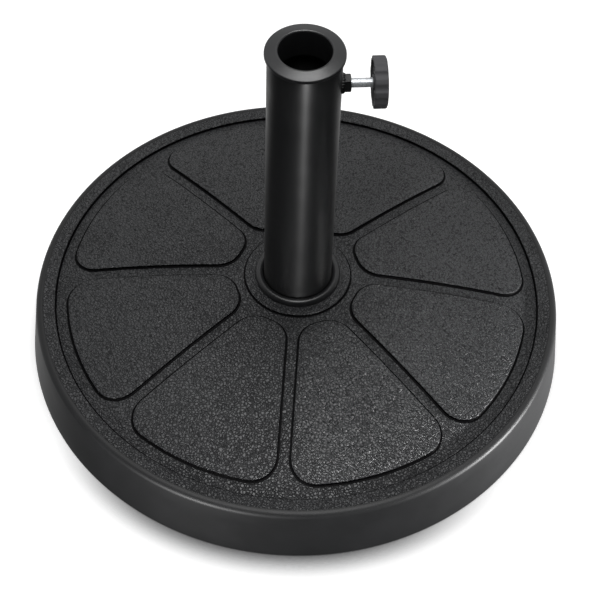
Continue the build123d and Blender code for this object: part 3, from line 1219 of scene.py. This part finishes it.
def block(name: str, size: Sequence[float], centre: Sequence[float], bevel: float = 0.0) -> Piece:
    """Make a block with bevelled edges.

    Args:
        name: Name of the piece.
        size: Full sizes in millimetres.
        centre: Centre in millimetres.
        bevel: Width of the bevels in millimetres.

    Returns:
        The new object.
    """
    work = bmesh.new()
    bmesh.ops.create_cube(work, size=1.0)
    bmesh.ops.scale(work, vec=Vector(size) * MM, verts=work.verts)
    if bevel:
        bmesh.ops.bevel(work, geom=list(work.edges), offset=bevel * MM, segments=3, profile=0.5,
                        affect="EDGES")
    bmesh.ops.translate(work, vec=Vector(centre) * MM, verts=work.verts)
    mesh = from_work(name, work)
    mesh.shade_smooth()
    mesh.set_sharp_from_angle(angle=math.radians(40))
    return link(name, mesh)


@dataclass
class Tube(Assembly):
    """Upright tube with the collar in its mouth and the bead at its foot. Sizes in millimetres."""

    shell: Shell
    radius: float = 28.5
    wall: float = 2.0
    foot: float = 17.1
    top: float = 334.9
    total: float = 340.0
    bore: float = 20.2
    lip: float = 30.6
    lip_edge: float = 337.8
    spigot: float = 26.3
    spigot_foot: float = 314.9
    bead_inner: float = 28.8
    bead_outer: float = 36.2
    bead_height: float = 4.6
    steps: int = 144

    def sleeve(self, hole: Piece) -> None:
        """Build the tube and cut the clamp's hole.

        Args:
            hole: Rod that the hole is cut with.
        """
        inner, middle = self.radius - self.wall, (self.foot + self.top) / 2
        line = self.shell.split(rounded([
            (inner, middle, 0), (inner, self.foot, 0.3), (self.radius, self.foot, 0.3),
            (self.radius, self.top, 0.4), (inner, self.top, 0.4), (inner, middle + 1, 0),
        ], 4), 25.0)
        piece = cut(lathe("pole_sleeve_visual", line, self.steps), [hole])
        clean(piece.data, 40.0)
        self.place(piece, Slot.STEEL, "pole_sleeve", finish=TUBE_STEEL)

    def collar(self) -> None:
        """Build the collar: spigot, rounded lip, sloping face and rolled mouth."""
        middle = (self.spigot_foot + self.total) / 2
        line = rounded([
            (self.bore, middle, 0), (self.bore, self.spigot_foot, 0.5), (self.spigot, self.spigot_foot, 0.8),
            (self.spigot, self.top, 0.2), (self.lip, self.top, 0.6), (self.lip, self.lip_edge, 1.2),
            (self.bore + 2.0, self.total - 0.05, 0.6), (self.bore, self.total, 1.5),
            (self.bore, middle + 1, 0),
        ], 8)
        self.place(lathe("top_collar_visual", line, self.steps, crease=50.0), Slot.TRIM, "top_collar")

    def bead(self) -> None:
        """Build the half-round bead on the hub ring."""
        base = self.shell.crown(self.shell.hub_radius) + self.shell.hub_step
        middle, half = (self.bead_inner + self.bead_outer) / 2, (self.bead_outer - self.bead_inner) / 2
        line = [(middle + half * math.cos(a), base + self.bead_height * math.sin(a))
                for a in np.linspace(0, math.pi, 17)]
        self.place(lathe("trim_ring_visual", line, self.steps, crease=60.0), Slot.TRIM, "trim_ring")

    def build(self, hole: Piece) -> None:
        """Build every piece of the tube.

        Args:
            hole: Rod that the clamp's hole is cut with.
        """
        self.sleeve(hole)
        self.collar()
        self.bead()


@dataclass
class Clamp:
    """Hand clamp on the side of the tube: nut, weld, screw and knob. Millimetres, along the clamp's axis."""

    rings: NodeTree
    threads: NodeTree
    welds: NodeTree
    height: float = 304.8
    angle: float = 5.0
    tube_radius: float = 28.5
    nut_foot: float = 28.6
    nut_top: float = 35.1
    nut_flats: float = 13.0
    nut_turn: float = 38.0
    screw_radius: float = 3.96
    root_radius: float = 3.28
    pitch: float = 1.25
    tip: float = 22.7
    hub_end: float = 51.4
    rear: float = 51.6
    front: float = 61.8
    knob_radius: float = 20.0
    rim_wall: float = 2.2
    plate: float = 2.4
    flutes: int = 12
    flute_radius: float = 5.0
    flute_depth: float = 1.3
    hub_radius: float = 6.0
    cup_radius: float = 9.0
    seat: float = 55.3
    webs: int = 6
    web_thickness: float = 1.8
    head_radius: float = 6.0
    head_height: float = 3.4
    cap_radius: float = 7.4
    cap_thickness: float = 1.5
    cap_dome: float = 0.55
    hole_radius: float = 4.4
    hole_reach: Range = (12.0, 45.0)
    nut_bore: tuple[Point, ...] = ((4.05, 0.9), (4.75, 0.1), (5.0, 0.0), (6.2, 0.0))
    chamfer: float = 0.55
    foot_chamfer: float = 0.4
    weld_radius: float = 7.25
    weld_drops: int = 22
    weld_drop: Place = (2.7, 1.05, 1.3)
    ridge: float = 0.66
    edge_round: float = 1.6
    back_round: float = 0.6
    face_ring: Point = (16.5, 8.8)
    face_depth: float = 0.35
    flute_from: float = 18.0
    flute_taper: float = 0.4
    base: Assembly = field(default_factory=lambda: Assembly(Body.BASE))
    screwed: Assembly = field(default_factory=lambda: Assembly(Body.SCREW))
    turned: Assembly = field(default_factory=lambda: Assembly(Body.KNOB))

    def upright(self) -> Matrix:
        """Transform from the tube's axis at the clamp's height, with X out through the screw."""
        return Matrix.Translation((0, 0, self.height * MM)) @ Matrix.Rotation(math.radians(self.angle), 4, "Z")

    def axis(self) -> Matrix:
        """Transform from +Z to the clamp's axis."""
        return self.upright() @ Matrix.Rotation(math.pi / 2, 4, "Y")

    def hole(self) -> Piece:
        """Make the rod that cuts the screw's hole through one side of the tube.

        Returns:
            The rod.
        """
        near, far = self.hole_reach
        line = [(0, near), (self.hole_radius, near), (self.hole_radius, far), (0, far)]
        return lathe("hole_tool", line, 32, self.axis())

    def nut(self) -> None:
        """Build the nut with its chamfered corners and countersunk thread."""
        flat, top, foot = self.nut_flats / 2, self.nut_top, self.nut_foot
        angles = [math.radians(self.nut_turn + 60 * side + step)
                  for side in range(6) for step in np.linspace(0, 60, 13)[:-1]]
        reach = [flat / math.cos(math.radians((math.degrees(a) - self.nut_turn) % 60 - 30)) for a in angles]
        past = [max(0.0, r - flat) for r in reach]
        rings = [[(self.nut_bore[0][0], foot)] * len(angles)]
        rings += [[(r, top - down)] * len(angles) for r, down in self.nut_bore]
        rings += [
            [(r - 0.06, top - p * self.chamfer - 0.02) for r, p in zip(reach, past)],
            [(r, top - p * self.chamfer - 0.14) for r, p in zip(reach, past)],
            [(r, foot + p * self.foot_chamfer + 0.05) for r, p in zip(reach, past)],
            [(min(r, flat + 0.1), foot) for r in reach],
        ]
        shape = Shape()
        rows = [shape.ring((r * math.cos(a) * MM, r * math.sin(a) * MM, z * MM)
                           for (r, z), a in zip(ring, angles)) for ring in rings]
        for low, high in zip(rows, rows[1:] + rows[:1]):
            shape.strip(low, high)
        self.base.place(shape.object("clamp_nut_visual", self.axis(), 25.0), Slot.STEEL, "clamp_nut")

    def weld(self) -> None:
        """Build the ring of weld drops at the nut's foot."""
        work = bmesh.new()
        bmesh.ops.create_icosphere(work, subdivisions=3, radius=MM)
        bmesh.ops.scale(work, vec=self.weld_drop, verts=work.verts)
        piece = grow(link("nut_weld_visual", from_work("nut_weld_visual", work)), self.welds, {
            "Tube Radius": (self.tube_radius - 0.2) * MM, "Ring Radius": self.weld_radius * MM,
            "Drops": self.weld_drops, "Seed": 4, "Material": FINISHES[Slot.STEEL].make(),
        })
        piece.data.transform(self.upright())
        piece.data.shade_smooth()
        self.base.place(piece, Slot.STEEL, "nut_weld")

    def screw(self) -> None:
        """Build the threaded screw with its head."""
        root, seat = self.root_radius, self.seat + 0.1
        neck, head, end = self.screw_radius, self.head_radius, seat + self.head_height
        line = rounded([(0, self.tip, 0), (root - 0.7, self.tip, 0.2), (root, self.tip + 0.8, 0.3),
                        (root, seat - 0.6, 0.2), (neck, seat - 0.3, 0), (neck, seat, 0), (head, seat, 0.3),
                        (head, end, 0.8), (0, end, 0)], 4)
        start = self.tip + 1.0
        piece = grow(lathe("clamp_screw_visual", line, 48, closed=False), self.threads, {
            "Crest Radius": self.screw_radius * MM, "Pitch": self.pitch * MM, "Ridge": self.ridge * MM,
            "Bottom": start * MM, "Turns": (seat - 0.8 - start) / self.pitch,
            "Material": FINISHES[Slot.ZINC].make(),
        })
        piece.data.transform(self.axis())
        piece.data.shade_smooth()
        piece.data.set_sharp_from_angle(angle=math.radians(35))
        self.screwed.place(piece, Slot.ZINC, "clamp_screw")

    def fluted(self, angle: float) -> float:
        """Find the outside radius of the knob.

        Args:
            angle: Angle round the clamp's axis, in radians.

        Returns:
            The radius.
        """
        spread = 2 * math.pi / self.flutes
        off = (angle + spread / 2) % spread - spread / 2
        away = self.knob_radius + self.flute_radius - self.flute_depth
        inside = self.flute_radius**2 - (away * math.sin(off))**2
        if inside <= 0:
            return self.knob_radius
        return min(self.knob_radius, away * math.cos(off) - math.sqrt(inside))

    def drawn_in(self, radius: float, angle: float) -> float:
        """Draw a knob ring in where a flute cuts into its outer part.

        Args:
            radius: Radius of the ring.
            angle: Angle round the clamp's axis, in radians.

        Returns:
            The ring's radius at that angle.
        """
        if radius <= self.flute_from:
            return radius
        return min(radius, self.fluted(angle) - (self.knob_radius - radius) * self.flute_taper)

    def knob_section(self, hollow: float) -> list[Point]:
        """Section of the knob, from the bottom of its hollow over the rim and face to the hub and back.

        Args:
            hollow: Radius of the hollow.

        Returns:
            Points as (radius, height).
        """
        outside, back, front, floor = self.knob_radius, self.rear, self.front, self.front - self.plate
        edge, rear_edge, cap, head = self.edge_round, self.back_round, self.cap_radius, self.head_radius + 0.3
        hub, cup, hub_end = self.hub_radius, self.cup_radius, self.hub_end
        pocket, shelf = front - self.cap_thickness, self.seat - self.plate
        face_out, face_in = self.face_ring
        bore, sunk = 4.0, front - self.face_depth
        line = [(hollow, floor), (hollow, back + 0.5), (hollow + 0.12, back + 0.15), (hollow + 0.5, back)]
        line += [(outside - rear_edge + rear_edge * math.sin(a), back + rear_edge - rear_edge * math.cos(a))
                 for a in np.linspace(0, math.pi / 2, 5)]
        line += [(outside - edge + edge * math.cos(a), front - edge + edge * math.sin(a))
                 for a in np.linspace(0, math.pi / 2, 7)]
        line += [(face_out, front), (face_out - 0.6, sunk), (face_in + 0.6, sunk), (face_in, front),
                 (cap + 0.3, front), (cap, front - 0.3), (cap, pocket), (head, pocket), (head, self.seat),
                 (bore, self.seat), (bore, hub_end + 0.4), (bore + 0.4, hub_end), (hub - 0.4, hub_end),
                 (hub, hub_end + 0.4), (hub, shelf - 0.3), (hub + 0.3, shelf), (cup - 0.5, shelf),
                 (cup, shelf + 0.5), (cup, floor - 0.5), (cup + 0.5, floor)]
        return line

    def knob(self) -> None:
        """Build the knob: fluted rim, hollow back, hub and webs."""
        steps = self.flutes * 18
        angles = [2 * math.pi * i / steps for i in range(steps)]
        hollow = self.knob_radius - self.flute_depth - self.rim_wall
        shape = Shape()
        rows = []
        for radius, height in self.knob_section(hollow):
            rows.append(shape.ring((self.drawn_in(radius, a) * math.cos(a) * MM,
                                    self.drawn_in(radius, a) * math.sin(a) * MM, height * MM) for a in angles))
        for low, high in zip(rows, rows[1:] + rows[:1]):
            shape.strip(low, high)
        piece = shape.object("clamp_knob_visual", crease=38.0)
        top, foot = self.front - self.plate + 0.4, self.rear + 1.5
        inner, outer = self.hub_radius - 0.5, hollow + 0.4
        web = block("web", (outer - inner, self.web_thickness, top - foot),
                    ((outer + inner) / 2, 0, (top + foot) / 2), 0.35)
        grow(web, self.rings, {"Count": self.webs, "Start": math.pi / self.webs, "Merge": 1e-7,
                               "Material": FINISHES[Slot.KNOB].make()})
        cut(piece, [web], "UNION")
        clean(piece.data, 38.0, 1e-7)
        piece.data.transform(self.axis())
        self.turned.place(piece, Slot.KNOB, "clamp_knob")

    def cap(self) -> None:
        """Build the slightly domed cap over the screw's head."""
        radius, foot, rise = self.cap_radius - 0.1, self.front - self.cap_thickness, self.cap_dome
        line = [(0.0, foot), (radius, foot)]
        line += [(radius * math.cos(a), self.front - rise + rise * math.sin(a))
                 for a in np.linspace(0, math.pi / 2, 9)[:-1]]
        cap = lathe("knob_cap_visual", line + [(0.0, self.front)], 64, self.axis(), 45.0, closed=False)
        self.turned.place(cap, Slot.KNOB, "knob_cap")

    def build(self) -> None:
        """Build every piece of the clamp."""
        self.nut()
        self.weld()
        self.screw()
        self.knob()
        self.cap()


@dataclass
class Underside(Assembly):
    """Everything under the base: cover, pads and their screws. Sizes in millimetres."""

    shell: Shell
    rings: NodeTree
    cover_foot: float = 3.0
    cover_top: float = 7.0
    clearance: float = 0.4
    rib_height: float = 1.3
    ribs: int = 24
    rib_rings: Range = (58.0, 160.0)
    pads: int = 6
    pad_circle: float = 190.0
    pad_radius: float = 17.0
    screw_circle: float = 213.0
    head_radius: float = 4.2
    head_height: float = 1.6
    shank_radius: float = 1.9
    ring_rib: Point = (1.4, 1.0)
    bar_width: float = 2.0
    grooves: tuple[float, ...] = (14.2, 11.6, 9.0)
    groove: Point = (0.45, 0.25)
    groove_depth: float = 0.7
    pad_seat: float = 1.0
    recess: Place = (3.6, 0.75, 1.7)

    def cover(self) -> None:
        """Build the cover with ring ribs, then its radial ribs."""
        edge = self.shell.outside(self.cover_top) - self.shell.wall - self.clearance
        low, rib = self.cover_foot, self.cover_foot - self.rib_height
        corners = [(0, self.cover_top, 0), (edge, self.cover_top, 0.4), (edge, low, 0.8)]
        foot_half, top_half = self.ring_rib
        for radius in reversed(self.rib_rings):
            corners += [(radius + foot_half, low, 0.4), (radius + top_half, rib, 0.5),
                        (radius - top_half, rib, 0.5), (radius - foot_half, low, 0.4)]
        corners.append((0, low, 0))
        line = self.shell.split(rounded(corners, 4), 20.0)
        piece = lathe("bottom_cover_visual", line, 144, crease=45.0, closed=False)
        inner, outer = self.rib_rings
        bar = block("ribs", (outer - inner, self.bar_width, self.rib_height + 0.5),
                    ((outer + inner) / 2, 0, low - self.rib_height / 2 + 0.25), 0.45)
        grow(bar, self.rings, {"Count": self.ribs, "Start": 0.0, "Merge": 1e-7,
                               "Material": FINISHES[Slot.COVER].make()})
        self.place(piece, Slot.COVER, "bottom_cover")
        bar.name = "cover_ribs_visual"
        self.place(bar, Slot.COVER)

    def feet(self) -> None:
        """Build the ribbed rubber pads."""
        corners = [(0, self.cover_foot, 0), (self.pad_radius, self.cover_foot, 0.3), (self.pad_radius, 0, 0.6)]
        foot_half, top_half = self.groove
        for radius in self.grooves:
            corners += [(radius + foot_half, 0, 0.12), (radius + top_half, self.groove_depth, 0.15),
                        (radius - top_half, self.groove_depth, 0.15), (radius - foot_half, 0, 0.12)]
        hole, seat = self.head_radius + 0.3, self.cover_foot - self.pad_seat
        corners += [(hole, 0, 0.4), (hole, seat, 0), (0, seat, 0)]
        piece = lathe("foot_pads_visual", rounded(corners, 3), 64, crease=45.0, closed=False)
        grow(piece, self.rings, {"Count": self.pads, "Radius": self.pad_circle * MM, "Start": 0.0,
                                 "Merge": 1e-7, "Material": FINISHES[Slot.RUBBER].make()})
        self.place(piece, Slot.RUBBER, "foot_pads")

    def screws(self, name: str, node: str, seat: float, length: float, count: int, circle: float,
               start: float) -> None:
        """Build a ring of pan-head screws with a cross recess, heads down.

        Args:
            name: Name of the piece.
            node: Frame node that it stands for.
            seat: Height of the underside of the heads.
            length: Length under the head.
            count: Number of screws.
            circle: Radius of the circle that they stand on.
            start: Angle of the first, in radians.
        """
        foot = seat - self.head_height
        head, shank, tip = self.head_radius, self.shank_radius, seat + length
        line = rounded([(0, foot, 0), (head * 0.55, foot + 0.03, 0.5), (head, foot + 0.45, 0.7),
                        (head, seat, 0.15), (shank, seat, 0.1), (shank, tip - 2.5, 0.2), (0, tip, 0)], 5)
        piece = lathe(name, line, 32, closed=False)
        long, wide, deep = self.recess
        cut(piece, [block("recess", size, (0, 0, foot)) for size in ((long, wide, deep), (wide, long, deep))])
        clean(piece.data, 32.0)
        grow(piece, self.rings, {"Count": count, "Radius": circle * MM, "Start": start, "Merge": 1e-7,
                                 "Material": FINISHES[Slot.ZINC].make()})
        self.place(piece, Slot.ZINC, node)

    def build(self) -> None:
        """Build every piece of the underside."""
        self.cover()
        self.feet()
        first = math.radians(self.shell.first_gap) + math.pi / self.shell.petals
        self.screws("cover_screws_visual", "cover_screws", self.cover_foot, 16.0, 8, self.screw_circle, first)
        self.screws("pad_screws_visual", "pad_screws", self.cover_foot - self.pad_seat, 11.0, self.pads,
                    self.pad_circle, 0.0)


@dataclass
class Fixings(Assembly):
    """Pieces cast or bolted in, which keep their frame shapes."""

    finishes: dict[str, Slot] = field(default_factory=lambda: {
        "ballast_core": Slot.CONCRETE, "sleeve_flange": Slot.STEEL, "flange_weld": Slot.STEEL,
        "anchor_bolts": Slot.ZINC, "anchor_washers": Slot.ZINC, "anchor_nuts": Slot.ZINC,
        "pole_foot_cup": Slot.TRIM,
    })

    def build(self) -> None:
        """Give each kept node its finish."""
        for node, slot in self.finishes.items():
            self.keep(node, slot)


# ---------------------------------------------------------------- studio
WALL_PIECES = ("base_shell_visual",)
TUBE_PIECES = ("pole_sleeve_visual",)
COLLAR_PIECES = ("top_collar_visual",)


@dataclass
class Softbox:
    """Rectangular studio light."""

    name: str
    place: Place
    target: Place
    size: tuple[float, float]
    power: float
    only: tuple[str, ...] = ()

    def build(self) -> None:
        """Build the light, aimed at its target, and let it light only the named pieces if it names any."""
        light = bpy.data.lights.new(self.name, "AREA")
        light.shape = "RECTANGLE"
        light.size, light.size_y = self.size
        light.energy = self.power
        lamp = bpy.data.objects.new(self.name, light)
        bpy.context.scene.collection.objects.link(lamp)
        lamp.location = self.place
        lamp.rotation_euler = (Vector(self.target) - Vector(self.place)).to_track_quat("-Z", "Y").to_euler()
        if self.only:
            lit = bpy.data.collections.new(self.name + "_pieces")
            for name in self.only:
                lit.objects.link(bpy.data.objects[name])
            lamp.light_linking.receiver_collection = lit


@dataclass
class Studio:
    """Floor, sky, lights and camera."""

    floor_reach: float = 6.0
    floor_color: Color = (0.90, 0.90, 0.90)
    floor_glow: float = 0.36
    shade_color: Color = (0.04, 0.04, 0.045)
    shade_open: Range = (0.52, 0.97)
    shade_way: Place = (-0.08, -0.997, 0.0)
    shade_spread: Range = (0.55, 1.0)
    shade_strength: float = 0.90
    back: float = 0.66
    front: float = 0.02
    below_front: float = 0.02
    below_back: float = 0.90
    above_span: Range = (-0.35, 0.6)
    below_span: Range = (0.05, 0.60)
    horizon: Range = (-0.15, 0.05)
    shadow_reach: float = 0.036
    camera_place: Place = (0.0, -0.9251, 1.2392)
    pitch: float = 0.9135
    roll: float = 0.0371
    yaw: float = 0.0031
    lens: float = 104.70
    sensor: float = 36.0
    nearest: float = 0.05
    boxes: tuple[Softbox, ...] = (
        Softbox("top_softbox", (0.10, 0.05, 1.9), (0.0, 0.0, 0.1), (1.2, 1.0), 20.0),
        Softbox("front_top_softbox", (-0.10, -0.55, 1.85), (0.0, 0.0, 0.1), (0.9, 0.4), 9.0),
        Softbox("left_strip", (-0.52, -0.97, 0.028), (0.0, 0.0, 0.028), (0.20, 0.03), 11.0, WALL_PIECES),
        Softbox("right_strip", (1.05, -0.35, 0.028), (0.0, 0.0, 0.028), (0.20, 0.03), 27.0, WALL_PIECES),
        Softbox("front_strip", (0.054, -0.58, 0.24), (0.0, 0.0, 0.2), (0.06, 0.22), 2.8, TUBE_PIECES),
        Softbox("side_strip", (0.25, 0.43, 0.124), (0.0, 0.0, 0.15), (0.08, 0.16), 0.8, TUBE_PIECES),
        Softbox("collar_strip", (0.16, 0.42, 1.85), (0.0, 0.0, 0.34), (0.4, 0.3), 4.0, COLLAR_PIECES),
    )

    def floor(self) -> None:
        """Build the plain pale floor, with a soft shade close in front of the base."""
        mesh = bpy.data.meshes.new("floor")
        far = self.floor_reach
        mesh.from_pydata([(-far, -far, 0), (far, -far, 0), (far, far, 0), (-far, far, 0)], [], [(0, 1, 2, 3)])
        piece = link("floor", mesh)
        tree = MaterialTree("floor_paper")
        near = tree.add("ShaderNodeAmbientOcclusion", samples=16)
        near.inputs["Distance"].default_value = self.shadow_reach
        open_share = tree.ramp(near.outputs["AO"], *self.shade_open)
        side = tree.vector("DOT_PRODUCT", tree.vector("NORMALIZE", tree.place), self.shade_way)
        strength = tree.ramp(side, *self.shade_spread, 0.0, self.shade_strength)
        shade = tree.math("MULTIPLY", tree.math("SUBTRACT", 1.0, open_share), strength)
        lit = tree.math("SUBTRACT", 1.0, shade)
        tree.feed("Base Color", tree.mix(lit, self.shade_color, self.floor_color))
        tree.feed("Emission Strength", tree.math("MULTIPLY", lit, self.floor_glow))
        tree.set(Emission_Color=(1.0, 1.0, 1.0, 1.0), Specular_IOR_Level=0.0, Roughness=0.9)
        mesh.materials.append(tree.material)
        piece.visible_glossy = False

    def world(self) -> None:
        """Build the sky: bright behind the base and dark in front of it, above the horizon and below."""
        world = bpy.data.worlds.new("studio")
        bpy.context.scene.world = world
        world.use_nodes = True
        tree = world.node_tree
        backdrop = tree.nodes["Background"]
        place = tree.nodes.new("ShaderNodeTexCoord")
        split = tree.nodes.new("ShaderNodeSeparateXYZ")
        tree.links.new(place.outputs["Generated"], split.inputs[0])

        def span(axis: str, low: float, high: float, start: float, end: float) -> Socket:
            """Map the sky direction's part along an axis to a range.

            Args:
                axis: Name of the axis.
                low: Lowest value read.
                high: Highest value read.
                start: Result at the lowest value.
                end: Result at the highest value.

            Returns:
                Socket of the result.
            """
            node = tree.nodes.new("ShaderNodeMapRange")
            node.interpolation_type = "SMOOTHSTEP"
            for name, value in (("From Min", low), ("From Max", high), ("To Min", start), ("To Max", end)):
                node.inputs[name].default_value = value
            tree.links.new(split.outputs[axis], node.inputs["Value"])
            return node.outputs["Result"]

        above = span("Y", *self.above_span, self.front, self.back)
        below = span("Y", *self.below_span, self.below_front, self.below_back)
        blend = tree.nodes.new("ShaderNodeMix")
        for index, start in ((0, span("Z", *self.horizon, 0.0, 1.0)), (2, below), (3, above)):
            tree.links.new(start, blend.inputs[index])
        tree.links.new(blend.outputs[0], backdrop.inputs["Strength"])
        backdrop.inputs["Color"].default_value = (1.0, 1.0, 1.0, 1.0)

    def camera(self) -> None:
        """Build the camera from its place, pitch, yaw and roll."""
        level, drop = math.cos(self.pitch), -math.sin(self.pitch)
        ahead = Vector((math.sin(self.yaw) * level, math.cos(self.yaw) * level, drop))
        right = Vector((math.cos(self.yaw), -math.sin(self.yaw), 0.0))
        up = right.cross(ahead)
        across = right * math.cos(self.roll) + up * math.sin(self.roll)
        above = up * math.cos(self.roll) - right * math.sin(self.roll)
        lens = bpy.data.cameras.new("camera")
        lens.lens = self.lens
        lens.sensor_width = self.sensor
        lens.clip_start = self.nearest
        view = bpy.data.objects.new("camera", lens)
        bpy.context.scene.collection.objects.link(view)
        turn = Matrix((across, above, -ahead)).transposed().to_4x4()
        view.matrix_world = Matrix.Translation(self.camera_place) @ turn
        bpy.context.scene.camera = view

    def build(self) -> None:
        """Build the whole studio."""
        self.floor()
        self.world()
        for box in self.boxes:
            box.build()
        self.camera()
        bpy.context.scene.view_settings.view_transform = "Standard"


def main() -> None:
    """Build the sub-assemblies in order, then the studio."""
    logging.basicConfig(level=logging.INFO, format="%(name)s %(message)s")
    rings, threads, welds = ring_tree(), thread_tree(), weld_tree()
    shell = Shell(Body.BASE, rings)
    shell.build()
    clamp = Clamp(rings, threads, welds)
    Tube(Body.BASE, shell).build(clamp.hole())
    clamp.build()
    Underside(Body.BASE, shell, rings).build()
    Fixings(Body.BASE).build()
    Studio().build()


if __name__ == "__main__":
    main()
